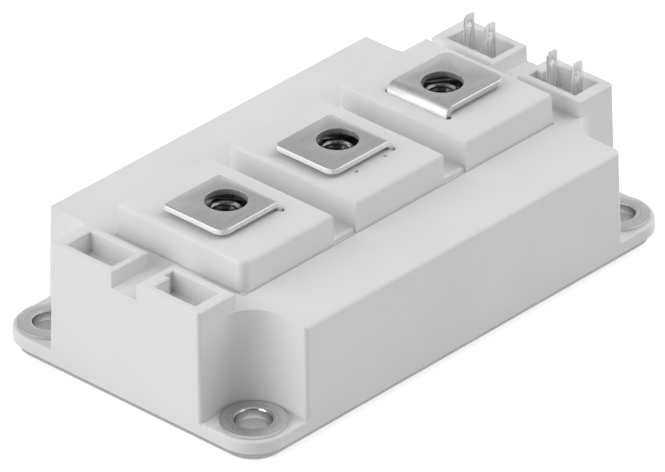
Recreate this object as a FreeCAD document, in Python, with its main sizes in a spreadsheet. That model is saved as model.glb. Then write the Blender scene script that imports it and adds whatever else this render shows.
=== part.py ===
import FreeCAD, Part
import Sketcher

import math
import os
import re

# A half-bridge power module in the common 62 mm wide flat case, in millimetres.
# The origin is the centre of the mounting face, +X runs along the length towards the end whose
# sockets hold the signal tabs, and +Z points up to the main terminals.

os.makedirs("parts", exist_ok=True)
doc = FreeCAD.newDocument("power_module")

# Driving sizes: name, millimetres or degrees, what it is

SIZES = [
    ("module_length", 106.4, "length over the flange"),
    ("module_width", 61.4, "width over the flange"),
    ("lug_radius", 6.7, "corners of the flange, about the mounting axes"),
    ("screw_hole", 6.4, "bore of the bushes and holes of the base plate"),
    ("base_thickness", 3.0, "base plate"),
    ("base_inset", 1.1, "base plate edge inside the flange edge"),
    ("base_chamfer", 0.3, "broken lower edge of the base plate"),
    ("rebate_clearance", 0.2, "base plate edge to the rebate of the housing"),
    ("skirt_depth", 1.15, "how far the flange hangs beside the base plate"),
    ("seal_thickness", 0.2, "adhesive bead between plate and housing"),
    ("lug_height", 4.25, "top of the lugs above the mounting face"),
    ("lug_fillet", 0.5, "rounding of the lug's upper edge"),
    ("bush_flange", 11.8, "diameter of the bush flange"),
    ("bush_flange_thickness", 0.7, "bush flange"),
    ("bush_neck", 8.8, "diameter of the bush neck in the lug"),
    ("bush_clearance", 0.1, "bush neck to its hole, on the radius"),
    ("bush_chamfer", 0.45, "lead-in at the mouth of the bush"),
    ("scoop_clearance", 0.2, "bush flange to the wall of the corner scoop, at lug level"),
    ("wall_draft", 1.2, "draft of the outer walls, degrees"),
    ("housing_wall", 2.0, "outer walls of the housing"),
    ("deck_height", 22.5, "deck above the mounting face"),
    ("deck_thickness", 2.0, "roof of the housing under the deck"),
    ("edge_fillet", 0.7, "rounding of the deck edges and the upright corners"),
    ("rim_rise", 3.2, "socket rims above the deck"),
    ("rim_chamfer", 0.2, "broken edges of the socket rims"),
    ("socket_length", 5.95, "sockets along the module"),
    ("socket_gap", 5.9, "notch between the two sockets of one end"),
    ("socket_wall", 1.35, "socket walls beside the notch"),
    ("socket_end_wall", 1.55, "socket walls at the ends of the module"),
    ("socket_side_wall", 2.3, "socket walls beside the scoops"),
    ("socket_back_wall", 1.55, "socket wall towards the middle of the module"),
    ("socket_depth", 4.0, "socket floor below the rim"),
    ("keyed_wall", 2.6, "inner wall of the keyed sockets"),
    ("key_length", 2.1, "keyway along the module"),
    ("key_depth", 1.25, "keyway into the inner wall"),
    ("terminal_inset", 18.5, "first and last block inwards from the mounting axes"),
    ("third_shift", 1.2, "third screw axis inwards from its block's centre"),
    ("row_offset", -0.5, "screw axes beside the long centre line"),
    ("block_offset", -0.25, "terminal blocks beside the long centre line"),
    ("block_length", 22.5, "terminal blocks along the module"),
    ("block_width", 29.9, "terminal blocks across the module"),
    ("block_draft", 1.0, "draft of the terminal blocks, degrees"),
    ("block_roof", 2.2, "top wall of the terminal blocks"),
    ("block_fillet", 0.8, "rounding of the upper edges of the terminal blocks"),
    ("outer_corner", 1.6, "round upright corner of the first block"),
    ("groove_width", 0.25, "fine groove round the foot of the row of blocks"),
    ("groove_depth", 0.4, "depth of that groove in the deck"),
    ("web_height", 1.0, "webs between the blocks above the deck"),
    ("web_setback", 0.3, "web ends behind the blocks' side faces"),
    ("web_root", 1.5, "how far the webs run into the blocks"),
    ("web_fillet", 0.6, "rounding of the web's ends"),
    ("pin_mark", 0.8, "diameter of the two gate marks on the middle block"),
    ("pin_mark_span", 7.2, "gate marks apart"),
    ("pin_mark_offset", 7.8, "gate marks from the terminal row"),
    ("pin_mark_depth", 0.6, "depth of the gate marks"),
    ("terminal_height", 30.5, "top of the main terminals and signal tabs"),
    ("terminal_thickness", 1.1, "busbar strip"),
    ("terminal_gap", 0.75, "terminal plate above the top of its block"),
    ("terminal_width", 14.0, "terminal plate across the module"),
    ("terminal_free", 8.7, "screw axis to the free edge of the plate"),
    ("terminal_bend", 0.3, "inner bend radius of the busbar"),
    ("terminal_hole", 8.2, "hole in the terminal plate"),
    ("terminal_corner", 1.8, "corner radius at the free edge"),
    ("slot_relief", 1.1, "round reliefs at the ends of those slots"),
    ("slot_clearance", 0.15, "busbar leg to its slot and to the nut's well"),
    ("leg_width", 7.0, "busbar leg inside the housing"),
    ("leg_shoulder", 18.0, "height at which the leg narrows"),
    ("foot_length", 4.6, "soldered foot, with the leg"),
    ("prong_margin", 0.7, "prongs of the third busbar inside the edge of the copper"),
    ("yoke_top", 11.8, "upper edge of the yoke above the mounting face"),
    ("yoke_bottom", 8.4, "lower edge of the yoke above the mounting face"),
    ("prong_width", 1.3, "prongs of the third busbar"),
    ("nut_flats", 10.0, "nut across flats"),
    ("nut_height", 5.0, "nut"),
    ("nut_bore", 5.0, "minor diameter of the M6 thread"),
    ("nut_chamfer", 0.5, "lead-in of the nut bore"),
    ("nut_corner", 30.0, "slope of the turned corners of the nut, degrees"),
    ("nut_clearance", 0.1, "nut to its well, each side"),
    ("nut_sink", 0.15, "nut top below the top of the block"),
    ("well_wall", 0.4, "wall of the nut well"),
    ("well_floor", 1.2, "floor of the screw clearance under the nut"),
    ("well_bore", 7.0, "screw clearance under the nut"),
    ("screw_room", 5.5, "depth of the screw clearance under the nut"),
    ("tab_width", 2.8, "signal tab along the module"),
    ("tab_thickness", 0.5, "signal tab"),
    ("tab_chamfer", 0.6, "clipped corners of the tab"),
    ("tab_hole", 1.2, "hole in the tab"),
    ("tab_hole_drop", 2.4, "tab hole below the tab's top"),
    ("tab_setback", 2.75, "middle of the tabs to the back wall of the socket"),
    ("tab_clearance", 0.15, "tab to its slot in the socket floor"),
    ("tab_arm_height", 2.0, "height of the arm that runs to the substrate"),
    ("near_arm_level", 7.0, "lower edge of the arms to the near substrate"),
    ("arm_clearance", 2.2, "arms to the far substrate above the yoke"),
    ("tab_foot", 1.2, "soldered foot of a tab"),
    ("far_gate_gap", 3.15, "far gate tab to the inner wall of its socket"),
    ("far_sense_gap", 2.7, "far sense tab to the outer wall of its socket"),
    ("near_gate_gap", 1.65, "near gate tab to the inner wall of its socket"),
    ("near_sense_gap", 2.05, "near sense tab to the outer wall of its socket"),
    ("substrate_end_room", 1.2, "ceramic to the foot of the scoop's wall"),
    ("substrate_side_room", 5.3, "ceramic to the foot of the long walls"),
    ("substrate_gap", 1.2, "between the two ceramics"),
    ("ceramic_thickness", 0.38, "ceramic"),
    ("copper_thickness", 0.3, "copper on each face of the ceramic"),
    ("copper_margin", 0.8, "bare ceramic edge"),
    ("bus_width", 1.0, "copper that ties the collector fields together"),
    ("middle_field", 6.0, "half width of the copper under the busbar feet"),
    ("gate_strip", 1.4, "gate copper strip"),
    ("emitter_strip", 3.8, "emitter copper strip"),
    ("copper_gap", 0.6, "between copper fields"),
    ("sense_pad", 1.6, "sense pad along the module"),
    ("diode_length", 8.5, "diode chips along the module"),
    ("chip_thickness", 0.2, "chips"),
    ("chip_gap", 1.2, "between chips of one row"),
    ("chip_margin", 0.5, "chips inside the collector field"),
    ("wire_size", 0.4, "bond wire"),
    ("wire_rise", 1.2, "height of a bond loop above its feet"),
    ("wire_pitch", 1.6, "bond wires apart"),
    ("wire_offset", 1.8, "middle wire of a chip from the chip's centre"),
    ("wire_landing", 1.3, "bond foot inside the edge of the chip or strip"),
    ("wire_shoulder", 0.3, "share of its run over which a wire rises"),
    ("gel_level", 12.6, "top of the gel above the mounting face"),
    ("gel_clearance", 0.1, "gel to the walls and to the tops of the bond loops"),
    ("cut_over", 1.0, "how far cuts run past the material"),
]

sheet = doc.addObject("Spreadsheet::Sheet", "Sizes")
for row, (alias, value, note) in enumerate(SIZES, start=1):
    sheet.set(f"A{row}", note)
    sheet.set(f"B{row}", str(value))
    sheet.setAlias(f"B{row}", alias)
doc.recompute()

ALIASES = {alias for alias, value, note in SIZES}

# Heights and places that follow from the driving sizes

SKIRT_BOTTOM = "(base_thickness - skirt_depth)"
REBATE_ROOF = "(base_thickness + seal_thickness)"
CAVITY_ROOF = "(deck_height - deck_thickness)"
RIM = "(deck_height + rim_rise)"
BLOCK_TOP = "(terminal_height - terminal_thickness - terminal_gap)"
HOLE_X = "(module_length / 2 - lug_radius)"
HOLE_Y = "(module_width / 2 - lug_radius)"
SCOOP = "(bush_flange / 2 + scoop_clearance)"
RIM_LEAN = f"(({RIM} - lug_height) * tan(wall_draft))"
DECK_LEAN = "((deck_height - lug_height) * tan(wall_draft))"
SOCKET_END = f"(module_length / 2 - {RIM_LEAN} - socket_end_wall)"
SOCKET_FRONT = f"({SOCKET_END} - socket_length)"
SOCKET_BACK = f"({SOCKET_FRONT} - socket_back_wall)"
SOCKET_SIDE = f"({HOLE_Y} - {SCOOP} - {RIM_LEAN} - socket_side_wall)"
SOCKET_INNER = "(socket_gap / 2 + socket_wall)"
KEYED_INNER = "(socket_gap / 2 + keyed_wall)"
SOCKET_FLOOR = f"({RIM} - socket_depth)"
TAB_X = f"({SOCKET_FRONT} + tab_setback)"
PITCH = f"({HOLE_X} - terminal_inset)"
BLOCK_FRONT = "(block_offset - block_width / 2)"
BLOCK_REAR = "(block_offset + block_width / 2)"
NUT_TOP = f"({BLOCK_TOP} - nut_sink)"
WELL_HALF = "(nut_flats / 2 + nut_clearance)"
WELL_BOTTOM = f"({NUT_TOP} - nut_height - screw_room - well_floor)"
REACH = f"({WELL_HALF} + well_wall + slot_clearance + terminal_thickness)"
SUBSTRATE_LENGTH = f"({HOLE_X} - {SCOOP} - housing_wall - substrate_end_room - substrate_gap / 2)"
SUBSTRATE_WIDTH = "(module_width - 2 * (housing_wall + substrate_side_room))"
SUBSTRATE_X = f"(({SUBSTRATE_LENGTH} + substrate_gap) / 2)"
CERAMIC_BOTTOM = "(base_thickness + copper_thickness)"
CERAMIC_TOP = f"({CERAMIC_BOTTOM} + ceramic_thickness)"
COPPER_TOP = f"({CERAMIC_TOP} + copper_thickness)"
CHIP_TOP = f"({COPPER_TOP} + chip_thickness)"
LOOP_TOP = f"({CHIP_TOP} + wire_rise + wire_size)"
COPPER_HALF_X = f"({SUBSTRATE_LENGTH} / 2 - copper_margin)"
COPPER_HALF_Y = f"({SUBSTRATE_WIDTH} / 2 - copper_margin)"
EMITTER_INNER = f"({COPPER_HALF_Y} - emitter_strip)"
GATE_INNER = "(middle_field + copper_gap)"
GATE_OUTER = f"({GATE_INNER} + gate_strip)"
ROW_INNER = f"({GATE_OUTER} + copper_gap)"
ROW_OUTER = f"({EMITTER_INNER} - copper_gap)"
ROW_START = f"(bus_width - {COPPER_HALF_X})"
ROW_END = f"({COPPER_HALF_X} - sense_pad - copper_gap)"
CHIP_Y = f"(({ROW_INNER} + {ROW_OUTER}) / 2)"
CHIP_DEPTH = f"({ROW_OUTER} - {ROW_INNER} - 2 * chip_margin)"
CHIP_RUN = f"({ROW_END} - {ROW_START} - 2 * (chip_margin + chip_gap))"
SWITCH_LENGTH = f"(({CHIP_RUN} - diode_length) / 2)"
YOKE_WIDTH = f"(2 * ({COPPER_HALF_Y} - prong_margin))"

# Screw axes of the main terminals, and the side to which each busbar is bent down
TERMINALS = {
    "main_terminal_left": (f"(-{PITCH})", 1),
    "main_terminal_middle": ("0", 1),
    "main_terminal_right": (f"({PITCH} - third_shift)", -1),
}

# Signal tabs: place across the module, level of the arm, and the substrate's side
SIGNAL_TABS = {
    "gate_tab_far": (f"({SOCKET_INNER} + far_gate_gap)", "(yoke_top + arm_clearance)", -1),
    "sense_tab_far": (f"({SOCKET_SIDE} - far_sense_gap)", "(yoke_top + arm_clearance)", -1),
    "gate_tab_near": (f"(-{KEYED_INNER} - near_gate_gap)", "near_arm_level", 1),
    "sense_tab_near": (f"(near_sense_gap - {SOCKET_SIDE})", "near_arm_level", 1),
}

# How closely a place found on a shape has to agree with a size, in millimetres
SLACK = 0.05

pieces = []


def formula(text):
    """The text with each size's name written as a reference to its cell in the sheet."""
    def reference(word):
        name = word.group()
        return "Sizes." + name if name in ALIASES else name
    return re.sub(r"[a-z]\w*", reference, text)


def number(text):
    """What a formula comes to at the present sizes."""
    return float(sheet.evalExpression(text))


def piece(thing, name):
    """Gives a sub-part its name and puts it on the list of files to write."""
    thing.Label = name
    pieces.append(thing)
    return thing


def new_body(name):
    """An empty solid body, on which sketches and features are built."""
    return doc.addObject("PartDesign::Body", name)


def new_sketch(body, name, role="XY_Plane", offset="0"):
    """A sketch on one of the body's own origin planes, moved along that plane's normal."""
    sketch = body.newObject("Sketcher::SketchObject", name)
    support = [plane for plane in body.Origin.OriginFeatures if plane.Role == role][0]
    sketch.AttachmentSupport = (support, "")
    sketch.MapMode = "FlatFace"
    sketch.setExpression("AttachmentOffset.Base.z", formula(offset))
    return sketch


def pin(sketch, geometry, point, x=None, y=None):
    """Ties a point of a sketch to formulas for its distance from the sketch's origin."""
    for kind, text in (("DistanceX", x), ("DistanceY", y)):
        if text is not None:
            constraint = Sketcher.Constraint(kind, -1, 1, geometry, point, number(text))
            index = sketch.addConstraint(constraint)
            sketch.setExpression(f"Constraints[{index}]", formula(text))


def circle(sketch, x, y, diameter):
    """A circle about a pinned centre."""
    centre = FreeCAD.Vector(number(x), number(y), 0)
    up = FreeCAD.Vector(0, 0, 1)
    index = sketch.addGeometry(Part.Circle(centre, up, number(diameter) / 2))
    pin(sketch, index, 3, x, y)
    constraint = sketch.addConstraint(Sketcher.Constraint("Diameter", index, number(diameter)))
    sketch.setExpression(f"Constraints[{constraint}]", formula(diameter))


def outline(sketch, corners):
    """A closed outline through pinned corners.

    A corner is (x, y), reached by a straight line from the one before, or (x, y, cx, cy), reached
    by the quarter arc about (cx, cy).
    """
    spots = [FreeCAD.Vector(number(corner[0]), number(corner[1]), 0) for corner in corners]
    joins = []
    for index, corner in enumerate(corners):
        start = spots[index - 1]
        end = spots[index]
        if len(corner) == 2:
            side = sketch.addGeometry(Part.LineSegment(start, end))
            joins.append((side, 1, 2))
        else:
            centre = FreeCAD.Vector(number(corner[2]), number(corner[3]), 0)
            swing = (start - centre).cross(end - centre).z
            near, far = (start, end) if swing > 0 else (end, start)
            rim = Part.Circle(centre, FreeCAD.Vector(0, 0, 1), (start - centre).Length)
            side = sketch.addGeometry(Part.ArcOfCircle(rim, rim.parameter(near), rim.parameter(far)))
            joins.append((side, 1, 2) if swing > 0 else (side, 2, 1))
            pin(sketch, side, 3, x=corner[2])
    for index, (side, start, end) in enumerate(joins):
        following, following_start, _ = joins[(index + 1) % len(joins)]
        sketch.addConstraint(Sketcher.Constraint("Coincident", side, end, following, following_start))
        pin(sketch, side, end, corners[index][0], corners[index][1])


def rectangle(sketch, x0, y0, x1, y1):
    """A rectangle between two opposite corners."""
    outline(sketch, [(x0, y0), (x1, y0), (x1, y1), (x0, y1)])


def rounded_rectangle(sketch, half_x, half_y, radius):
    """A rectangle about the origin with round corners."""
    inner_x = f"({half_x} - {radius})"
    inner_y = f"({half_y} - {radius})"
    outline(sketch, [
        (inner_x, f"-{half_y}"),
        (half_x, f"-{inner_y}", inner_x, f"-{inner_y}"),
        (half_x, inner_y),
        (inner_x, half_y, inner_x, inner_y),
        (f"-{inner_x}", half_y),
        (f"-{half_x}", inner_y, f"-{inner_x}", inner_y),
        (f"-{half_x}", f"-{inner_y}"),
        (f"-{inner_x}", f"-{half_y}", f"-{inner_x}", f"-{inner_y}"),
    ])


def tower_outline(sketch, margin):
    """The cross-shaped plan of the housing above its lugs, moved inwards by a margin.

    Its re-entrant corners are arcs about the mounting axes, so screws and washers find room.
    """
    long_half = f"(module_length / 2 - {margin})"
    wide_half = f"(module_width / 2 - {margin})"
    radius = f"({SCOOP} + {margin})"
    waist_x = f"({HOLE_X} - {radius})"
    waist_y = f"({HOLE_Y} - {radius})"
    outline(sketch, [
        (waist_x, f"-{wide_half}"),
        (waist_x, f"-{HOLE_Y}"),
        (HOLE_X, f"-{waist_y}", HOLE_X, f"-{HOLE_Y}"),
        (long_half, f"-{waist_y}"),
        (long_half, waist_y),
        (HOLE_X, waist_y),
        (waist_x, HOLE_Y, HOLE_X, HOLE_Y),
        (waist_x, wide_half),
        (f"-{waist_x}", wide_half),
        (f"-{waist_x}", HOLE_Y),
        (f"-{HOLE_X}", waist_y, f"-{HOLE_X}", HOLE_Y),
        (f"-{long_half}", waist_y),
        (f"-{long_half}", f"-{waist_y}"),
        (f"-{HOLE_X}", f"-{waist_y}"),
        (f"-{waist_x}", f"-{HOLE_Y}", f"-{HOLE_X}", f"-{HOLE_Y}"),
        (f"-{waist_x}", f"-{wide_half}"),
    ])


def pad(body, sketch, length, draft=None, both_sides=False):
    """Raises a sketch into material along its normal, its walls leaning in by the draft."""
    feature = body.newObject("PartDesign::Pad", sketch.Name + "_pad")
    feature.Profile = sketch
    feature.setExpression("Length", formula(length))
    feature.Midplane = both_sides
    if draft is not None:
        feature.setExpression("TaperAngle", formula(f"-{draft}"))
    return feature


def pocket(body, sketch, depth=None, upwards=False, draft=None):
    """Cuts a sketch into the body, to a depth or right through both ways."""
    feature = body.newObject("PartDesign::Pocket", sketch.Name + "_cut")
    feature.Profile = sketch
    if depth is None:
        feature.Type = "ThroughAll"
        feature.Midplane = True
    else:
        feature.setExpression("Length", formula(depth))
    feature.Reversed = upwards
    if draft is not None:
        feature.setExpression("TaperAngle", formula(f"-{draft}"))
    return feature


def lean_walls(body, name, angle):
    """Leans all upright walls of a plain pad inwards, away from its lowest face."""
    doc.recompute()
    base = body.Tip
    walls = []
    for index, face in enumerate(base.Shape.Faces, start=1):
        u_low, u_high, v_low, v_high = face.ParameterRange
        rise = face.normalAt((u_low + u_high) / 2, (v_low + v_high) / 2).z
        if near(rise, 0):
            walls.append(f"Face{index}")
        elif rise < 0:
            foot = f"Face{index}"
    feature = body.newObject("PartDesign::Draft", name)
    feature.Base = (base, walls)
    feature.NeutralPlane = (base, [foot])
    feature.setExpression("Angle", formula(angle))
    return feature


def edges_where(feature, test):
    """Names of a feature's edges that pass a test of their two ends and middle."""
    doc.recompute()
    names = []
    for index, edge in enumerate(feature.Shape.Edges, start=1):
        middle = edge.valueAt((edge.FirstParameter + edge.LastParameter) / 2)
        ends = [vertex.Point for vertex in edge.Vertexes]
        if test(ends, middle):
            names.append(f"Edge{index}")
    return names


def dress(body, kind, name, test, size):
    """A fillet or chamfer on the edges of the body's tip that pass a test."""
    base = body.Tip
    names = edges_where(base, test)
    feature = body.newObject("PartDesign::" + kind, name)
    feature.Base = (base, names)
    feature.setExpression("Radius" if kind == "Fillet" else "Size", formula(size))
    return feature


def box(name, x0, y0, z0, x1, y1, z1):
    """A plain block between two corners given as formulas."""
    block = doc.addObject("Part::Box", name)
    for side, low, high in (("Length", x0, x1), ("Width", y0, y1), ("Height", z0, z1)):
        block.setExpression(side, formula(f"({high}) - ({low})"))
    for axis, low in (("x", x0), ("y", y0), ("z", z0)):
        block.setExpression("Placement.Base." + axis, formula(low))
    return block


def group(name, links):
    """Several separate solids under one name."""
    compound = doc.addObject("Part::Compound", name)
    compound.Links = links
    return compound


def fuse(name, shapes):
    """Several touching blocks made one solid."""
    union = doc.addObject("Part::MultiFuse", name)
    union.Shapes = shapes
    union.Refine = True
    return union


def near(value, target):
    """Whether two lengths agree."""
    return abs(value - target) < SLACK


# Base plate: a flat copper plate with four screw holes and broken edges

base_plate = piece(new_body("base_plate"), "base_plate")
plate_sketch = new_sketch(base_plate, "plate_outline")
rounded_rectangle(
    plate_sketch,
    "(module_length / 2 - base_inset)",
    "(module_width / 2 - base_inset)",
    "(lug_radius - base_inset)",
)
for side_x in ("", "-"):
    for side_y in ("", "-"):
        circle(plate_sketch, side_x + HOLE_X, side_y + HOLE_Y, "screw_hole")
pad(base_plate, plate_sketch, "base_thickness")


def on_plate_rim(ends, middle):
    """The outline of the plate's lower face."""
    from_axis = math.hypot(abs(middle.x) - number(HOLE_X), abs(middle.y) - number(HOLE_Y))
    return near(middle.z, 0) and near(ends[0].z, 0) and not near(from_axis, number("screw_hole / 2"))


dress(base_plate, "Chamfer", "plate_edges", on_plate_rim, "base_chamfer")

# Mounting bushes: turned sleeves with a flange, standing on the base plate through each lug


def mounting_bush(name, side_x, side_y):
    """One bush, turned about its own axis and set on its mounting axis."""
    body = piece(new_body(name), name)
    section = new_sketch(body, name + "_section", "XZ_Plane")
    bore = "(screw_hole / 2)"
    top = "(lug_height + bush_flange_thickness)"
    outline(section, [
        (bore, "base_thickness"),
        ("bush_neck / 2", "base_thickness"),
        ("bush_neck / 2", "lug_height"),
        ("bush_flange / 2", "lug_height"),
        ("bush_flange / 2", top),
        (f"{bore} + bush_chamfer", top),
        (bore, f"{top} - bush_chamfer"),
    ])
    turned = body.newObject("PartDesign::Revolution", name + "_turned")
    turned.Profile = section
    turned.ReferenceAxis = (section, ["V_Axis"])
    turned.Angle = 360
    body.setExpression("Placement.Base.x", formula(side_x + HOLE_X))
    body.setExpression("Placement.Base.y", formula(side_y + HOLE_Y))
    return body


for end_name, side_x in (("left", "-"), ("right", "")):
    for edge_name, side_y in (("front", "-"), ("rear", "")):
        mounting_bush(f"mounting_bush_{end_name}_{edge_name}", side_x, side_y)

# Housing: one moulding, open below, with lugs, scoops, deck, sockets and terminal blocks

housing = piece(new_body("housing"), "housing")

tower_sketch = new_sketch(housing, "tower", offset="lug_height")
tower_outline(tower_sketch, "0")
pad(housing, tower_sketch, "deck_height - lug_height")
lean_walls(housing, "tower_draft", "wall_draft")

box_sketch = new_sketch(housing, "socket_boxes", offset="deck_height")
box_end = f"(module_length / 2 - {DECK_LEAN})"
box_side = f"({HOLE_Y} - {SCOOP} - {DECK_LEAN})"
for side_x in ("", "-"):
    for side_y in ("", "-"):
        rectangle(
            box_sketch,
            side_x + SOCKET_BACK, side_y + "socket_gap / 2", side_x + box_end, side_y + box_side,
        )
pad(housing, box_sketch, "rim_rise", draft="wall_draft")

deck_z = number("deck_height")
rim_z = number(RIM)
lug_z = number("lug_height")
scoop_inner = number(f"{HOLE_Y} - {SCOOP}")
half_length = number("module_length / 2")
half_width = number("module_width / 2")
back_x = number(SOCKET_BACK)
lean = number(RIM_LEAN)
corner_y = scoop_inner - lean - SLACK


def on_tower_edge(ends, middle):
    """The upright outward corners of the tower and the outer edges of its deck."""
    rise = abs(ends[0].z - ends[-1].z)
    at_side = abs(middle.y) > half_width - lean - SLACK
    at_end = abs(middle.x) > half_length - lean - SLACK and abs(middle.y) > corner_y
    upright = rise > SLACK and (at_side or at_end)
    return upright or (near(rise, 0) and near(middle.z, deck_z) and at_side)


dress(housing, "Fillet", "tower_edges", on_tower_edge, "edge_fillet")

groove_sketch = new_sketch(housing, "foot_groove", offset="deck_height")
for spare in ("groove_width", "0"):
    rectangle(
        groove_sketch,
        f"-({PITCH} + block_length / 2 + {spare})", f"{BLOCK_FRONT} - {spare}",
        f"{PITCH} + block_length / 2 + {spare}", f"{BLOCK_REAR} + {spare}",
    )
pocket(housing, groove_sketch, "groove_depth")

block_sketch = new_sketch(housing, "blocks", offset="deck_height")
first_end = f"(-{PITCH} - block_length / 2)"
outline(block_sketch, [
    (first_end, f"({BLOCK_FRONT} + outer_corner)"),
    (
        f"({first_end} + outer_corner)", BLOCK_FRONT,
        f"({first_end} + outer_corner)", f"({BLOCK_FRONT} + outer_corner)",
    ),
    (f"(block_length / 2 - {PITCH})", BLOCK_FRONT),
    (f"(block_length / 2 - {PITCH})", BLOCK_REAR),
    (first_end, BLOCK_REAR),
])
for centre in ("0", PITCH):
    rectangle(
        block_sketch,
        f"{centre} - block_length / 2", BLOCK_FRONT, f"{centre} + block_length / 2", BLOCK_REAR,
    )
pad(housing, block_sketch, f"{BLOCK_TOP} - deck_height", draft="block_draft")


def on_block_top(ends, middle):
    """The upper edges of the terminal blocks."""
    return near(middle.z, number(BLOCK_TOP)) and all(near(end.z, middle.z) for end in ends)


dress(housing, "Fillet", "block_tops", on_block_top, "block_fillet")

web_sketch = new_sketch(housing, "webs", offset="deck_height")
for middle_x in (f"-{PITCH} / 2", f"{PITCH} / 2"):
    half_web = f"(({PITCH} - block_length) / 2 + web_root)"
    rectangle(
        web_sketch,
        f"{middle_x} - {half_web}", f"{BLOCK_FRONT} + web_setback",
        f"{middle_x} + {half_web}", f"{BLOCK_REAR} - web_setback",
    )
pad(housing, web_sketch, "web_height")


def on_web_end(ends, middle):
    """The upper edges of the webs at their two ends."""
    across = abs(middle.y - number("block_offset"))
    return near(middle.z, number("deck_height + web_height")) and near(
        across, number("block_width / 2 - web_setback")
    )


dress(housing, "Fillet", "web_ends", on_web_end, "web_fillet")

# The flange is a body of its own, because its rounded edge runs in under the tower's foot

flange = new_body("flange")
flange_sketch = new_sketch(flange, "flange_outline", offset=SKIRT_BOTTOM)
rounded_rectangle(flange_sketch, "(module_length / 2)", "(module_width / 2)", "lug_radius")
pad(flange, flange_sketch, f"lug_height - {SKIRT_BOTTOM}")


def on_flange_top(ends, middle):
    """The whole upper edge of the flange."""
    return near(middle.z, lug_z)


dress(flange, "Fillet", "lug_edges", on_flange_top, "lug_fillet")
foot_sketch = new_sketch(flange, "tower_foot", offset=SKIRT_BOTTOM)
tower_outline(foot_sketch, "0")
pad(flange, foot_sketch, f"lug_height - {SKIRT_BOTTOM}")
doc.recompute()
join = housing.newObject("PartDesign::Boolean", "flange_join")
join.setObjects([flange])
join.Type = "Fuse"

# Inside of the housing: the rebate for the base plate and the drafted cavity above it

rebate_sketch = new_sketch(housing, "rebate", offset=SKIRT_BOTTOM)
rounded_rectangle(
    rebate_sketch,
    "(module_length / 2 - base_inset + rebate_clearance)",
    "(module_width / 2 - base_inset + rebate_clearance)",
    "(lug_radius - base_inset + rebate_clearance)",
)
pocket(housing, rebate_sketch, "skirt_depth + seal_thickness", upwards=True)

cavity_sketch = new_sketch(housing, "cavity", offset=REBATE_ROOF)
tower_outline(cavity_sketch, "housing_wall")
pocket(housing, cavity_sketch, f"{CAVITY_ROOF} - {REBATE_ROOF}", upwards=True, draft="wall_draft")

hollow_sketch = new_sketch(housing, "block_hollows", offset=CAVITY_ROOF)
for place in (f"-{PITCH}", "0", PITCH):
    rectangle(
        hollow_sketch,
        f"{place} - block_length / 2 + housing_wall", f"{BLOCK_FRONT} + housing_wall",
        f"{place} + block_length / 2 - housing_wall", f"{BLOCK_REAR} - housing_wall",
    )
hollow_depth = f"{BLOCK_TOP} - block_roof - {CAVITY_ROOF}"
pocket(housing, hollow_sketch, hollow_depth, upwards=True, draft="block_draft")

# Nut wells: posts that hang from the roof of each block, with a hexagon and a screw clearance

post_sketch = new_sketch(housing, "well_posts", offset=WELL_BOTTOM)
for axis_x, side in TERMINALS.values():
    half_post = f"({WELL_HALF} + well_wall)"
    rectangle(
        post_sketch,
        f"{axis_x} - {half_post}",
        f"row_offset - {half_post} / cos(30)",
        f"{axis_x} + {half_post}",
        f"row_offset + {half_post} / cos(30)",
    )
pad(housing, post_sketch, f"{BLOCK_TOP} - block_roof / 2 - {WELL_BOTTOM}")

hexagon_sketch = new_sketch(housing, "nut_wells", offset=BLOCK_TOP)
for axis_x, side in TERMINALS.values():
    half_side = f"({WELL_HALF} * tan(30))"
    tip = f"({WELL_HALF} / cos(30))"
    outline(hexagon_sketch, [
        (axis_x, f"row_offset - {tip}"),
        (f"{axis_x} + {WELL_HALF}", f"row_offset - {half_side}"),
        (f"{axis_x} + {WELL_HALF}", f"row_offset + {half_side}"),
        (axis_x, f"row_offset + {tip}"),
        (f"{axis_x} - {WELL_HALF}", f"row_offset + {half_side}"),
        (f"{axis_x} - {WELL_HALF}", f"row_offset - {half_side}"),
    ])
pocket(housing, hexagon_sketch, "nut_sink + nut_height")

bore_sketch = new_sketch(housing, "screw_room", offset=BLOCK_TOP)
for axis_x, side in TERMINALS.values():
    circle(bore_sketch, axis_x, "row_offset", "well_bore")
pocket(housing, bore_sketch, "nut_sink + nut_height + screw_room")

slot_sketch = new_sketch(housing, "leg_slots", offset=BLOCK_TOP)
for axis_x, side in TERMINALS.values():
    outer = f"({axis_x} + {side} * ({REACH} + slot_clearance))"
    inner = f"({axis_x} + {side} * ({REACH} - terminal_thickness - slot_clearance))"
    rectangle(
        slot_sketch,
        inner,
        "row_offset - terminal_width / 2 - slot_clearance",
        outer,
        "row_offset + terminal_width / 2 + slot_clearance",
    )
pocket(housing, slot_sketch, "block_roof")

relief_sketch = new_sketch(housing, "slot_reliefs", offset=BLOCK_TOP)
for axis_x, side in TERMINALS.values():
    slot_middle = f"({axis_x} + {side} * ({REACH} - terminal_thickness / 2))"
    slot_half = "(terminal_width / 2 + slot_clearance)"
    for end_side in ("-", "+"):
        circle(relief_sketch, slot_middle, f"row_offset {end_side} {slot_half}", "slot_relief")
pocket(housing, relief_sketch, "block_roof")

mark_sketch = new_sketch(housing, "gate_marks", offset=BLOCK_TOP)
for side in ("-", ""):
    circle(mark_sketch, f"{side}pin_mark_span / 2", "row_offset - pin_mark_offset", "pin_mark")
pocket(housing, mark_sketch, "pin_mark_depth")

# Sockets: plain ones on the rear side, keyed ones on the front side

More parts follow.
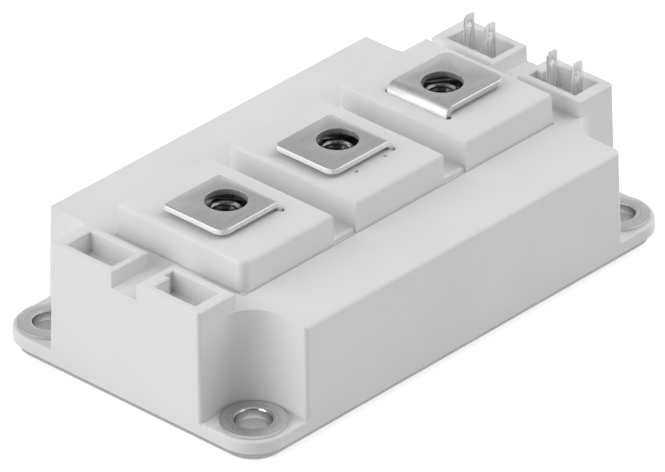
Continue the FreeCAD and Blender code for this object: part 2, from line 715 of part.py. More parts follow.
socket_sketch = new_sketch(housing, "sockets", offset=RIM)
for side in ("-", ""):
    inner = f"{side}{SOCKET_FRONT}"
    outer = f"{side}{SOCKET_END}"
    keyway = f"{side}({SOCKET_FRONT} + key_length)"
    rectangle(socket_sketch, inner, SOCKET_INNER, outer, SOCKET_SIDE)
    keyed = f"-{KEYED_INNER}"
    key_end = f"-({KEYED_INNER} - key_depth)"
    outline(socket_sketch, [
        (inner, f"-{SOCKET_SIDE}"),
        (outer, f"-{SOCKET_SIDE}"),
        (outer, keyed),
        (keyway, keyed),
        (keyway, key_end),
        (inner, key_end),
    ])
pocket(housing, socket_sketch, "socket_depth")

tab_slot_sketch = new_sketch(housing, "tab_slots", offset=SOCKET_FLOOR)
for across, level, side in SIGNAL_TABS.values():
    rectangle(
        tab_slot_sketch,
        f"{TAB_X} - tab_width / 2 - tab_clearance",
        f"{across} - tab_thickness / 2 - tab_clearance",
        f"{TAB_X} + tab_width / 2 + tab_clearance",
        f"{across} + tab_thickness / 2 + tab_clearance",
    )
pocket(housing, tab_slot_sketch, f"{SOCKET_FLOOR} - {CAVITY_ROOF}")

neck_sketch = new_sketch(housing, "bush_holes", offset="lug_height")
for side_x in ("", "-"):
    for side_y in ("", "-"):
        circle(neck_sketch, side_x + HOLE_X, side_y + HOLE_Y, "bush_neck + 2 * bush_clearance")
pocket(housing, neck_sketch, f"lug_height - {REBATE_ROOF}")


def on_socket_rim(ends, middle):
    """The straight upper edges of the sockets, inside and outside."""
    return near(middle.z, rim_z) and abs(middle.x) > back_x - SLACK


dress(housing, "Chamfer", "socket_rims", on_socket_rim, "rim_chamfer")

# Adhesive bead: a flat ring between the base plate and the foot of the housing's walls

base_seal = piece(new_body("base_seal"), "base_seal")
bead_sketch = new_sketch(base_seal, "bead", offset="base_thickness")
tower_outline(bead_sketch, "(base_inset + base_chamfer)")
tower_outline(bead_sketch, "housing_wall")
pad(base_seal, bead_sketch, "seal_thickness")

# Terminal nuts: three hexagon nuts, turned on top, with a plain bore at the thread's core


def terminal_nut(name, axis_x):
    """One nut in its well, flats towards the ends of the module."""
    body = new_body(name)
    half = "(nut_flats / 2)"
    blank = new_sketch(body, name + "_blank")
    outline(blank, [
        ("0", f"-{half} / cos(30)"),
        (half, f"-{half} * tan(30)"),
        (half, f"{half} * tan(30)"),
        ("0", f"{half} / cos(30)"),
        (f"-{half}", f"{half} * tan(30)"),
        (f"-{half}", f"-{half} * tan(30)"),
    ])
    circle(blank, "0", "0", "nut_bore")
    pad(body, blank, "nut_height")
    doc.recompute()
    corners = new_sketch(body, name + "_corners", "XZ_Plane")
    beyond = f"({half} / cos(30) + cut_over)"
    drop = f"({beyond} - {half}) * tan(nut_corner)"
    outline(corners, [(half, "nut_height"), (beyond, "nut_height"), (beyond, f"nut_height - {drop}")])
    turned = body.newObject("PartDesign::Groove", name + "_turned")
    turned.Profile = corners
    turned.ReferenceAxis = (corners, ["V_Axis"])
    turned.Angle = 360
    doc.recompute()

    def on_bore_mouth(ends, middle):
        return near(math.hypot(middle.x, middle.y), number("nut_bore / 2"))

    dress(body, "Chamfer", name + "_mouth", on_bore_mouth, "nut_chamfer")
    body.setExpression("Placement.Base.x", formula(axis_x))
    body.setExpression("Placement.Base.y", formula("row_offset"))
    body.setExpression("Placement.Base.z", formula(f"{NUT_TOP} - nut_height"))
    return body


nuts = [terminal_nut("nut_" + name.split("_")[-1], axis_x) for name, (axis_x, side) in TERMINALS.items()]
piece(group("terminal_nuts", nuts), "terminal_nuts")

# Main terminals: strips bent over the nut, down through the roof and out to a soldered foot


def main_terminal(name, axis_x, side):
    """One busbar, bent from flat strip towards the given side of its screw axis."""
    body = piece(new_body(name), name)
    strip = new_sketch(body, name + "_strip", "XZ_Plane")
    outer = "(terminal_bend + terminal_thickness)"
    bend_x = f"({REACH} - {outer})"
    high = f"(terminal_height - {outer})"
    low = f"({COPPER_TOP} + {outer})"
    foot_x = f"({REACH} - foot_length)"

    def along(text):
        return f"{side} * ({text})"

    outline(strip, [
        (along("-terminal_free"), "terminal_height"),
        (along(bend_x), "terminal_height"),
        (along(REACH), high, along(bend_x), high),
        (along(REACH), low),
        (along(bend_x), COPPER_TOP, along(bend_x), low),
        (along(foot_x), COPPER_TOP),
        (along(foot_x), f"{COPPER_TOP} + terminal_thickness"),
        (along(bend_x), f"{COPPER_TOP} + terminal_thickness"),
        (along(f"{REACH} - terminal_thickness"), low, along(bend_x), low),
        (along(f"{REACH} - terminal_thickness"), high),
        (along(bend_x), "terminal_height - terminal_thickness", along(bend_x), high),
        (along("-terminal_free"), "terminal_height - terminal_thickness"),
    ])
    yoked = name == "main_terminal_right"
    blank_width = YOKE_WIDTH if yoked else "terminal_width"
    pad(body, strip, blank_width, both_sides=True)
    sides = new_sketch(body, name + "_sides", "YZ_Plane")
    beyond = f"({blank_width} / 2 + cut_over)"
    below = f"{COPPER_TOP} - cut_over"
    plate_half = "(terminal_width / 2)"
    if yoked:
        above = "terminal_height + cut_over"
        rectangle(sides, plate_half, "yoke_top", beyond, above)
        rectangle(sides, f"-{plate_half}", "yoke_top", f"-{beyond}", above)
        prong = f"({YOKE_WIDTH} / 2 - prong_width)"
        rectangle(sides, f"-{prong}", below, prong, "yoke_bottom")
    else:
        leg_half = "(leg_width / 2)"
        rectangle(sides, leg_half, below, beyond, "leg_shoulder")
        rectangle(sides, f"-{leg_half}", below, f"-{beyond}", "leg_shoulder")
    pocket(body, sides)
    screw = new_sketch(body, name + "_hole", offset="terminal_height")
    circle(screw, "0", "0", "terminal_hole")
    pocket(body, screw, "terminal_thickness + cut_over")

    def on_plate_corner(ends, middle):
        at_end = near(abs(middle.x), number("terminal_free")) and middle.z > number(BLOCK_TOP)
        return at_end and near(abs(middle.y), number("terminal_width / 2"))

    dress(body, "Fillet", name + "_corners", on_plate_corner, "terminal_corner")
    body.setExpression("Placement.Base.x", formula(axis_x))
    body.setExpression("Placement.Base.y", formula("row_offset"))
    return body


for name, (axis_x, side) in TERMINALS.items():
    main_terminal(name, axis_x, side)

# Signal tabs: stamped blades that stand in the sockets, with an arm to the substrate inside


def signal_tab(name, across, level, side):
    """One stamped blade, flat across the module."""
    body = piece(new_body(name), name)
    blank = new_sketch(body, name + "_blank", "XZ_Plane")
    left = f"({TAB_X} - tab_width / 2)"
    right = f"({TAB_X} + tab_width / 2)"
    foot_right = f"({side} * {SUBSTRATE_X} + {COPPER_HALF_X} - (sense_pad - tab_foot) / 2)"
    outline(blank, [
        (left, "terminal_height - tab_chamfer"),
        (left, f"{level} + tab_arm_height"),
        (f"{foot_right} - tab_foot", f"{level} + tab_arm_height"),
        (f"{foot_right} - tab_foot", COPPER_TOP),
        (foot_right, COPPER_TOP),
        (foot_right, level),
        (right, level),
        (right, "terminal_height - tab_chamfer"),
        (f"{right} - tab_chamfer", "terminal_height"),
        (f"{left} + tab_chamfer", "terminal_height"),
    ])
    circle(blank, TAB_X, "terminal_height - tab_hole_drop", "tab_hole")
    pad(body, blank, "tab_thickness", both_sides=True)
    body.setExpression("Placement.Base.y", formula(across))
    return body


for name, (across, level, side) in SIGNAL_TABS.items():
    signal_tab(name, across, level, side)

# Substrates: ceramic with copper on both faces, the upper copper etched into fields


def across_pair(name, x0, y0, z0, x1, y1, z1):
    """A block and its mirror image on the other side of the long centre line."""
    rear = box(name + "_rear", x0, y0, z0, x1, y1, z1)
    front = box(name + "_front", x0, f"-({y1})", z0, x1, f"-({y0})", z1)
    return [rear, front]


def bond_wire(x0, y0, z0, x1, y1, z1):
    """A square wire between its two wedge-shaped feet, over a flat-topped loop."""
    start = FreeCAD.Vector(number(x0), number(y0), number(z0))
    end = FreeCAD.Vector(number(x1), number(y1), number(z1))
    size = number("wire_size")
    run = FreeCAD.Vector(end.x - start.x, end.y - start.y, 0)
    forward = run * (1 / run.Length)
    aside = FreeCAD.Vector(-forward.y, forward.x, 0)
    foot = forward * size
    up = FreeCAD.Vector(0, 0, size)
    crest = max(start.z, end.z) + number("wire_rise")
    shoulder = number("wire_shoulder")
    rise = start + run * shoulder
    fall = start + run * (1 - shoulder)
    rise.z = fall.z = crest
    under = [start, start + foot, rise, fall, end - foot, end]
    profile = Part.Face(Part.makePolygon(under + [fall + up, rise + up, start]))
    wire = profile.extrude(aside * size)
    wire.translate(aside * (-size / 2))
    return wire


def substrate(end_name, side):
    """One substrate with its chips and bond wires."""
    centre = f"({side} * {SUBSTRATE_X})"

    def at(text):
        return f"({centre} + ({text}))"

    piece(box(
        "ceramic_" + end_name,
        at(f"-{SUBSTRATE_LENGTH} / 2"), f"-{SUBSTRATE_WIDTH} / 2", CERAMIC_BOTTOM,
        at(f"{SUBSTRATE_LENGTH} / 2"), f"{SUBSTRATE_WIDTH} / 2", CERAMIC_TOP,
    ), "substrate_ceramic_" + end_name)
    piece(box(
        "back_" + end_name,
        at(f"-{COPPER_HALF_X}"), f"-{COPPER_HALF_Y}", "base_thickness",
        at(COPPER_HALF_X), COPPER_HALF_Y, CERAMIC_BOTTOM,
    ), "substrate_back_copper_" + end_name)

    def field(name, x0, y0, x1, y1):
        return across_pair(name + end_name, at(x0), y0, CERAMIC_TOP, at(x1), y1, COPPER_TOP)

    low_x = f"-{COPPER_HALF_X}"
    collector = field("bus_", low_x, "0", ROW_START, ROW_OUTER)
    collector += field("middle_", ROW_START, "0", COPPER_HALF_X, "middle_field")
    collector += field("row_", ROW_START, ROW_INNER, ROW_END, ROW_OUTER)
    collector += field("link_", low_x, ROW_OUTER, f"{low_x} + emitter_strip", COPPER_HALF_Y)
    strips = field("gate_", f"{ROW_START} + copper_gap", GATE_INNER, COPPER_HALF_X, GATE_OUTER)
    pads = field("sense_", f"{COPPER_HALF_X} - sense_pad", ROW_INNER, COPPER_HALF_X, ROW_OUTER)
    emitter_start = f"{low_x} + emitter_strip + copper_gap"
    emitters = field("emitter_", emitter_start, EMITTER_INNER, COPPER_HALF_X, COPPER_HALF_Y)
    fields = [fuse("collector_" + end_name, collector)] + strips + pads + emitters
    piece(group("copper_" + end_name, fields), "substrate_top_copper_" + end_name)

    first = f"({ROW_START} + chip_margin + {SWITCH_LENGTH} / 2)"
    second = f"({first} + {SWITCH_LENGTH} + chip_gap)"
    third = f"({second} + {SWITCH_LENGTH} / 2 + chip_gap + diode_length / 2)"

    def chips(name, x, length):
        return across_pair(
            name + end_name,
            at(f"{x} - {length} / 2"), f"{CHIP_Y} - {CHIP_DEPTH} / 2", COPPER_TOP,
            at(f"{x} + {length} / 2"), f"{CHIP_Y} + {CHIP_DEPTH} / 2", CHIP_TOP,
        )

    switches = chips("switch_a_", first, SWITCH_LENGTH) + chips("switch_b_", second, SWITCH_LENGTH)
    piece(group("switches_" + end_name, switches), "switch_chips_" + end_name)
    diodes = chips("diode_", third, "diode_length")
    piece(group("diodes_" + end_name, diodes), "diode_chips_" + end_name)

    wires = []
    for mirror in ("", "-"):
        for x in (first, second, third):
            for turn in (-1, 0, 1):
                along = at(f"{x} - wire_offset + ({turn}) * wire_pitch")
                wires.append(bond_wire(
                    along, f"{mirror}({CHIP_Y} + {CHIP_DEPTH} / 2 - wire_landing)", CHIP_TOP,
                    along, f"{mirror}({EMITTER_INNER} + wire_landing)", COPPER_TOP,
                ))
        for x in (first, second):
            wires.append(bond_wire(
                at(x), f"{mirror}({CHIP_Y} - {CHIP_DEPTH} / 2 + wire_landing)", CHIP_TOP,
                at(x), f"{mirror}({GATE_INNER} + gate_strip / 2)", COPPER_TOP,
            ))
    bonds = doc.addObject("Part::Feature", "bonds_" + end_name)
    bonds.Shape = Part.makeCompound(wires)
    piece(bonds, "bond_wires_" + end_name)


for end_name, side in (("left", -1), ("right", 1)):
    substrate(end_name, side)

# Link wires: from the emitter strips of the left substrate to the collector of the right one

links = []
for mirror in ("", "-"):
    for turn in (-0.5, 0.5):
        across = f"{mirror}({COPPER_HALF_Y} - emitter_strip / 2) + ({turn}) * wire_pitch"
        links.append(bond_wire(
            f"-{SUBSTRATE_X} + {COPPER_HALF_X} - wire_landing", across, COPPER_TOP,
            f"{SUBSTRATE_X} - {COPPER_HALF_X} + wire_landing", across, COPPER_TOP,
        ))
link_wires = doc.addObject("Part::Feature", "links")
link_wires.Shape = Part.makeCompound(links)
piece(link_wires, "link_wires")

# Gel: poured over the substrates, with a plain room round them and their wires

gel_pour = new_body("gel_pour")
gel_sketch = new_sketch(gel_pour, "gel_outline", offset="base_thickness")
tower_outline(gel_sketch, "(housing_wall + gel_clearance)")
pad(gel_pour, gel_sketch, "gel_level - base_thickness", draft="wall_draft")
wire_room = box(
    "wire_room",
    f"-({SUBSTRATE_X} + {SUBSTRATE_LENGTH} / 2)", f"-{SUBSTRATE_WIDTH} / 2", "base_thickness",
    f"{SUBSTRATE_X} + {SUBSTRATE_LENGTH} / 2", f"{SUBSTRATE_WIDTH} / 2", f"{LOOP_TOP} + gel_clearance",
)
risers = [thing for thing in pieces if "terminal_" in thing.Label or "_tab_" in thing.Label]
risers = [thing for thing in risers if thing.Label != "terminal_nuts"]
gel = doc.addObject("Part::Cut", "gel")
gel.Base = gel_pour
gel.Tool = fuse("gel_room", [wire_room] + risers)
piece(gel, "silicone_gel")

# Check and write every sub-part

doc.recompute()
for item in doc.Objects:
    if "Invalid" in item.State or "Error" in item.State:
        raise RuntimeError(f"{item.Name} failed: {item.State}")
for thing in pieces:
    if thing.Shape.isNull() or not thing.Shape.isValid():
        raise RuntimeError(f"{thing.Label} has no valid shape")
    thing.Shape.exportStep(f"parts/{thing.Label}.step")
    print(thing.Label, len(thing.Shape.Solids), "solids", round(thing.Shape.Volume, 1), "mm3")
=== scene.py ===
# %% [markdown]
# # A power module with three screw terminals
#
# The object is a flat half-bridge module, 106.4 mm long, that is screwed to a heatsink. A matte
# off-white housing stands on a metal base plate. Steel bushes line the four corner holes, three
# plated busbars lie over captive nuts, and four small tabs stand in two of the open sockets.
#
# The solids come ready made and stay where they are. This lesson adds what a casting of plain
# solids lacks: sheared and rounded edges, screw threads, turning marks, brushed plating, the
# grain of moulded plastic, and light to see them by.

# %% Load the solids
import math

import bpy
from mathutils import Matrix, Vector


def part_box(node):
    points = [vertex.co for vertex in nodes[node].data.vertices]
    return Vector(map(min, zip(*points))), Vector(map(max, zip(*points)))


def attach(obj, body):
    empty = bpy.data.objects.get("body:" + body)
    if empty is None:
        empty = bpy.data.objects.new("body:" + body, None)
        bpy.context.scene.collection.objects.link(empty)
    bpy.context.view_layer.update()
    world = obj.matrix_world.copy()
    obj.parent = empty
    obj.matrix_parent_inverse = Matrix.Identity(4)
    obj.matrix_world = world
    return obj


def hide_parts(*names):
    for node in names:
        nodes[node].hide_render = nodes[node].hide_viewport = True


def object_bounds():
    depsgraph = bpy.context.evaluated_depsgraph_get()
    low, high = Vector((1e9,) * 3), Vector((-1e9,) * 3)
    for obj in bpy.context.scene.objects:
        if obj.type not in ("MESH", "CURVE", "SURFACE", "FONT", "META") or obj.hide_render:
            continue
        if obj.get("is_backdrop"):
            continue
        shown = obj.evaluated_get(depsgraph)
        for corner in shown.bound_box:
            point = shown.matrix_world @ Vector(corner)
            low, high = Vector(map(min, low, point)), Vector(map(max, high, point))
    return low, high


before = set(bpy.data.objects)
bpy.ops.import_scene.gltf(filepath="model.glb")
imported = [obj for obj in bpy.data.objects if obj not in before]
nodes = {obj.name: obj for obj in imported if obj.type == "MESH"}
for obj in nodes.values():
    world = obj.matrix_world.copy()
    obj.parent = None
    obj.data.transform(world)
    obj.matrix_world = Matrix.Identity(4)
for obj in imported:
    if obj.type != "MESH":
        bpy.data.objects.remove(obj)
cad_low, cad_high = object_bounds()
scene = bpy.context.scene
MM = 0.001
print(len(nodes), "solids, box in mm:", [round(v / MM, 2) for v in (*cad_low, *cad_high)])

# %% [markdown]
# ## The camera
#
# A product photograph like this one is taken from far away with a long lens, so that parallel
# edges stay nearly parallel. The lens, the two angles and the small roll were found by laying
# known corners of the module over the picture. The camera's distance and two small shifts, along
# its own right and up, say the rest.

# %% Place the camera
AZIMUTH, ELEVATION, ROLL = -46.859, 30.7034, -0.4444
turn = (
    Matrix.Rotation(math.radians(AZIMUTH), 3, "Z")
    @ Matrix.Rotation(math.radians(90 - ELEVATION), 3, "X")
    @ Matrix.Rotation(math.radians(ROLL), 3, "Z")
)
DISTANCE, RIGHTWARDS, UPWARDS = 1.70738, -0.0007189, 0.0093079
SENSOR_MM, LENS_MM = 36, 530.46

camera_data = bpy.data.cameras.new("camera")
camera_data.sensor_fit = "HORIZONTAL"
camera_data.sensor_width = SENSOR_MM
camera_data.lens = LENS_MM
camera = bpy.data.objects.new("camera", camera_data)
scene.collection.objects.link(camera)
camera.matrix_world = turn.to_4x4()
camera.location = turn @ Vector((RIGHTWARDS, UPWARDS, DISTANCE))
scene.camera = camera
print("camera at", [round(v, 3) for v in camera.location], "m, lens", camera_data.lens, "mm")

# %% [markdown]
# ## Floor, backdrop and light
#
# The picture has a pure white ground. White by means of strong lamps would wash out the pale
# housing, so the floor only looks white to the camera: its own glow counts for camera rays
# alone, and reflections see it evenly pale. The sky is done the same way. It is white for the
# camera and lights the module more gently. Behind the camera the room is dark, and metal shows
# that as dark bands. Reflections also find the ceiling darker than the walls.

# %% Helpers for node trees
def node(tree, kind, **settings):
    """Adds a shader node. A setting is an input by its number, written in_ and the number, or one
    of its properties.
    """
    made = tree.nodes.new("ShaderNode" + kind)
    for key, value in settings.items():
        if key.startswith("in_"):
            made.inputs[int(key[3:])].default_value = value
        else:
            setattr(made, key, value)
    return made


def link(tree, source, output, target, entry):
    """Joins an output to an input. Both are given by name or number."""
    tree.links.new(source.outputs[output], target.inputs[entry])


print("helpers ready: node, link")

# %% The sky
scene.view_settings.view_transform = "Standard"
world = bpy.data.worlds.new("studio")
scene.world = world
world.use_nodes = True
tree = world.node_tree
tree.nodes.clear()
SKY_LIGHT = 0.4
DARK_SIDE = (-0.68, -0.66, 0.32)
DARK_FROM, DARK_FULL, DARK_SHARE = 0.55, 0.95, 0.8
CEILING_FROM, CEILING_FULL, CEILING = 0.15, 0.5, 0.6
rays = node(tree, "LightPath")
seen = node(tree, "Math", operation="MAXIMUM")
direction = node(tree, "TexCoord")
towards_room = node(tree, "VectorMath", operation="DOT_PRODUCT")
towards_room.inputs[1].default_value = DARK_SIDE
room = node(tree, "MapRange", in_1=DARK_FROM, in_2=DARK_FULL, in_3=1.0, in_4=1 - DARK_SHARE)
room.interpolation_type = "SMOOTHSTEP"
height = node(tree, "SeparateXYZ")
ceiling = node(
    tree, "MapRange", in_1=CEILING_FROM, in_2=CEILING_FULL, in_3=1.0, in_4=CEILING)
ceiling.interpolation_type = "SMOOTHSTEP"
mirrored = node(tree, "Math", operation="MULTIPLY")
spread = node(tree, "Math", operation="MULTIPLY", in_1=SKY_LIGHT)
unseen = node(tree, "Mix", data_type="FLOAT")
strength = node(tree, "Mix", data_type="FLOAT")
sky = node(tree, "Background", in_0=(1, 1, 1, 1))
sky_output = node(tree, "OutputWorld")
print("sky light", SKY_LIGHT, "- dark side towards", DARK_SIDE)

# %% Join the sky's nodes
link(tree, rays, "Is Camera Ray", seen, 0)
link(tree, rays, "Is Transmission Ray", seen, 1)
link(tree, direction, "Generated", towards_room, 0)
link(tree, towards_room, "Value", room, "Value")
link(tree, rays, "Is Glossy Ray", unseen, "Factor")
link(tree, room, "Result", spread, 0)
link(tree, spread, 0, unseen, "A")
link(tree, direction, "Generated", height, 0)
link(tree, height, "Z", ceiling, "Value")
link(tree, room, "Result", mirrored, 0)
link(tree, ceiling, "Result", mirrored, 1)
link(tree, mirrored, 0, unseen, "B")
link(tree, seen, 0, strength, "Factor")
link(tree, unseen, "Result", strength, "A")
strength.inputs["B"].default_value = 1.0
link(tree, strength, "Result", sky, "Strength")
link(tree, sky, "Background", sky_output, "Surface")
print("sky joined with", len(tree.links), "links")

# %% The floor
FLOOR_SIZE, FLOOR_GAP = 12, 0.1 * MM
FLOOR_PAINT, FLOOR_GLOW, FLOOR_MIRRORED = 0.74, 0.6, 0.9
bpy.ops.object.select_all(action="DESELECT")
bpy.ops.mesh.primitive_plane_add(size=FLOOR_SIZE, location=(0, 0, cad_low.z - FLOOR_GAP))
floor = bpy.context.object
floor.name = "floor"
bpy.ops.object.transform_apply()
floor_paint = bpy.data.materials.new("floor_paint")
floor_paint.use_nodes = True
tree = floor_paint.node_tree
tree.nodes.clear()
matte = node(tree, "BsdfDiffuse", in_0=(FLOOR_PAINT, FLOOR_PAINT, FLOOR_PAINT, 1))
rays = node(tree, "LightPath")
glow = node(tree, "Math", operation="MULTIPLY", in_1=FLOOR_GLOW)
shine = node(tree, "Emission")
both = node(tree, "AddShader")
white = node(tree, "Emission", in_1=FLOOR_MIRRORED)
floor_mix = node(tree, "MixShader")
floor_output = node(tree, "OutputMaterial")
link(tree, rays, "Is Camera Ray", glow, 0)
link(tree, glow, 0, shine, "Strength")
link(tree, matte, 0, both, 0)
link(tree, shine, 0, both, 1)
link(tree, rays, "Is Glossy Ray", floor_mix, 0)
link(tree, both, 0, floor_mix, 1)
link(tree, white, 0, floor_mix, 2)
link(tree, floor_mix, 0, floor_output, "Surface")
floor.data.materials.append(floor_paint)
floor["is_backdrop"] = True
print("floor at", round(floor.data.vertices[0].co.z / MM, 2), "mm")

# %% [markdown]
# Two large soft boxes do the main work. One stands low beyond the end without tabs and brightens
# the left faces. The other stands higher, off the right end, and fills the tops and the long
# near side. Neither faces the corner nearest to the camera, so its hollow stays in shade, which
# is how the photograph reads.

# %% The lamps
LAMP_SIZE, LAMP_DISTANCE = 1.8, 1.5


def soft_box(name, turn, height, watts):
    """A round soft box that faces the module from a compass turn and a height in degrees."""
    data = bpy.data.lights.new(name, "AREA")
    data.shape = "DISK"
    data.size = LAMP_SIZE
    data.energy = watts
    lamp = bpy.data.objects.new(name, data)
    scene.collection.objects.link(lamp)
    lamp.rotation_euler = (math.radians(90 - height), 0, math.radians(turn))
    lamp.location = lamp.rotation_euler.to_matrix() @ Vector((0, 0, LAMP_DISTANCE))
    print(name, "at", [round(v, 2) for v in lamp.location], "m,", watts, "W")


soft_box("soft_box_left", turn=248, height=26, watts=17.6)
soft_box("soft_box_right", turn=60, height=38, watts=15.2)

# %% [markdown]
# ## Moulded plastic
#
# Such housings are mostly moulded from glass-filled plastic with an etched surface. The
# photograph is too small to show the grain, so a plausible one is given: a fine grain and a
# shallow waviness in the bump, faint clouds in the colour, and soft rub marks in the roughness.

# %% Helpers for finishes
TINT_RANGE, GLOSS_RANGE = (0.35, 0.65), (0.3, 0.7)


def finish(name, colour, roughness, metallic=0.0):
    """A material with an even finish, to which patterns are added."""
    made = bpy.data.materials.new(name)
    made.use_nodes = True
    shader = made.node_tree.nodes["Principled BSDF"]
    shader.inputs["Base Color"].default_value = (*colour, 1)
    shader.inputs["Roughness"].default_value = roughness
    shader.inputs["Metallic"].default_value = metallic
    return made


def place(material, stretch):
    """The surface's place in metres, scaled by stretch on each axis."""
    tree = material.node_tree
    spot = node(tree, "TexCoord")
    mapping = node(tree, "Mapping", vector_type="TEXTURE")
    mapping.inputs["Scale"].default_value = [1 / s for s in stretch]
    link(tree, spot, "Object", mapping, "Vector")
    return mapping


def noise(material, size, stretch=(1, 1, 1), detail=3.0):
    """A noise whose blotches are about size metres across, and finer along a stretched axis."""
    tree = material.node_tree
    pattern = node(tree, "TexNoise")
    pattern.inputs["Scale"].default_value = 1 / size
    pattern.inputs["Detail"].default_value = detail
    link(tree, place(material, stretch), "Vector", pattern, "Vector")
    return pattern


def tint(material, pattern, dark, light):
    """Colours the surface from dark to light by a pattern's value."""
    tree = material.node_tree
    ramp = node(tree, "ValToRGB")
    ramp.color_ramp.elements[0].position = TINT_RANGE[0]
    ramp.color_ramp.elements[0].color = (*dark, 1)
    ramp.color_ramp.elements[1].position = TINT_RANGE[1]
    ramp.color_ramp.elements[1].color = (*light, 1)
    link(tree, pattern, 0, ramp, 0)
    link(tree, ramp, "Color", tree.nodes["Principled BSDF"], "Base Color")


def gloss(material, pattern, low, high):
    """Roughness from low to high by a pattern's value."""
    tree = material.node_tree
    spread = node(
        tree, "MapRange", in_1=GLOSS_RANGE[0], in_2=GLOSS_RANGE[1], in_3=low, in_4=high)
    link(tree, pattern, 0, spread, "Value")
    link(tree, spread, "Result", tree.nodes["Principled BSDF"], "Roughness")


def relief(material, pattern, depth, strength=1.0):
    """Raises the surface by a pattern, up to depth metres. A second relief adds to the first."""
    tree = material.node_tree
    shader = tree.nodes["Principled BSDF"]
    bump = node(tree, "Bump")
    bump.inputs["Strength"].default_value = strength
    bump.inputs["Distance"].default_value = depth
    link(tree, pattern, 0, bump, "Height")
    if shader.inputs["Normal"].is_linked:
        link(tree, shader.inputs["Normal"].links[0].from_node, "Normal", bump, "Normal")
    link(tree, bump, "Normal", shader, "Normal")


print("helpers ready: finish, place, noise, tint, gloss, relief")

# %% The housing's plastic
moulded_plastic = finish("moulded_plastic", (0.77, 0.765, 0.745), 0.5)
clouds = noise(moulded_plastic, 22 * MM, detail=4)
tint(moulded_plastic, clouds, (0.762, 0.757, 0.737), (0.79, 0.785, 0.765))
rubs = noise(moulded_plastic, 5 * MM, stretch=(1, 3, 2), detail=5)
gloss(moulded_plastic, rubs, 0.42, 0.6)
grain = noise(moulded_plastic, 0.35 * MM, detail=2)
relief(moulded_plastic, grain, 0.02 * MM)
waves = noise(moulded_plastic, 9 * MM, detail=1)
relief(moulded_plastic, waves, 0.05 * MM, strength=0.4)
nodes["housing"].data.materials.clear()
nodes["housing"].data.materials.append(moulded_plastic)
print("housing finished in", moulded_plastic.name)

# %% [markdown]
# ## Plated metal
#
# Strip copper is rolled, then plated. Rolling leaves fine lines along the strip, so the noise is
# stretched to streaks. The same way serves the base plate, the busbars and the tabs, with the
# streaks turned to suit each. Metal shows its surroundings, so the streaks go into roughness
# first and only lightly into the colour.

# %% Streaked metal
def rolled_metal(name, dark, light, streaks, low, high, metallic=1.0):
    """Plated strip with rolling lines. Streaks gives how fine the lines are on each axis."""
    made = finish(name, light, (low + high) / 2, metallic=metallic)
    lines = noise(made, 6 * MM, stretch=streaks, detail=4)
    tint(made, lines, dark, light)
    gloss(made, lines, low, high)
    relief(made, lines, 0.003 * MM)
    blotches = noise(made, 3 * MM, detail=3)
    relief(made, blotches, 0.02 * MM, strength=0.3)
    return made


base_nickel = rolled_metal(
    "base_nickel", (0.38, 0.375, 0.36), (0.48, 0.475, 0.46), (1, 40, 40), 0.28, 0.46)
busbar_plating = rolled_metal(
    "busbar_plating", (0.55, 0.55, 0.545), (0.585, 0.585, 0.58), (1, 8, 1), 0.26, 0.32)
stretched_bend = rolled_metal(
    "stretched_bend", (0.48, 0.48, 0.475), (0.54, 0.54, 0.535), (1, 8, 1), 0.4, 0.5)
tab_plating = rolled_metal(
    "tab_plating", (0.66, 0.66, 0.65), (0.84, 0.84, 0.83), (30, 30, 1), 0.22, 0.38, metallic=0.7)
print("plated finishes:", base_nickel.name, busbar_plating.name, tab_plating.name)
print("outside of a bend:", stretched_bend.name)

# %% [markdown]
# A stamped edge is first sheared smooth and then torn. Its three copies differ only by painted
# light: a painted highlight for the ends, painted shade for the long sides, darker in the holes.

# %% Sheared edges, in painted highlight and painted shade
def sheared(name, dark, light, metallic=0.2):
    """A cut edge of the strip, smooth along its length and faintly torn across."""
    made = finish(name, light, 0.4, metallic=metallic)
    tears = noise(made, 2.0 * MM, stretch=(3, 3, 1), detail=2)
    tint(made, tears, dark, light)
    gloss(made, tears, 0.38, 0.5)
    relief(made, tears, 0.008 * MM)
    return made


# The sides' copy is painted shade, the ends' copy a painted highlight, the holes' copy darker
# painted shade.
sheared_side_painted_shade = sheared("sheared_side_painted_shade", (0.72, 0.72, 0.71), (0.80, 0.80, 0.79))
sheared_end_painted_highlight = sheared("sheared_end_painted_highlight", (0.92, 0.92, 0.91), (0.96, 0.96, 0.95))
hole_wall_painted_shade = sheared("hole_wall_painted_shade", (0.34, 0.34, 0.335), (0.44, 0.44, 0.435), metallic=0.5)
print("edge finishes:", sheared_side_painted_shade.name, sheared_end_painted_highlight.name, hole_wall_painted_shade.name)

# %% [markdown]
# ## Turned steel
#
# The bushes are turned on a lathe, and the tool leaves rings round each hole's axis. The four
# axes mirror each other, so the absolute values of x and y fold all of them onto one, and the
# distance from that axis drives a noise in one direction only.

# %% Turning rings
HOLE_X, HOLE_Y = 46.5 * MM, 24.0 * MM
turned_steel = finish("turned_steel", (0.58, 0.58, 0.57), 0.3, metallic=1.0)
tree = turned_steel.node_tree
spot = node(tree, "TexCoord")
fold = node(tree, "VectorMath", operation="ABSOLUTE")
shift = node(tree, "VectorMath", operation="SUBTRACT")
shift.inputs[1].default_value = (HOLE_X, HOLE_Y, 0)
flat = node(tree, "VectorMath", operation="MULTIPLY")
flat.inputs[1].default_value = (1, 1, 0)
radius = node(tree, "VectorMath", operation="LENGTH")
rings = node(tree, "TexNoise", noise_dimensions="1D")
rings.inputs["Scale"].default_value = 1 / (0.25 * MM)
rings.inputs["Detail"].default_value = 3
link(tree, spot, "Object", fold, 0)
link(tree, fold, 0, shift, 0)
link(tree, shift, 0, flat, 0)
link(tree, flat, 0, radius, 0)
link(tree, radius, "Value", rings, "W")
tint(turned_steel, rings, (0.60, 0.60, 0.59), (0.72, 0.72, 0.71))
gloss(turned_steel, rings, 0.2, 0.36)
relief(turned_steel, rings, 0.01 * MM)

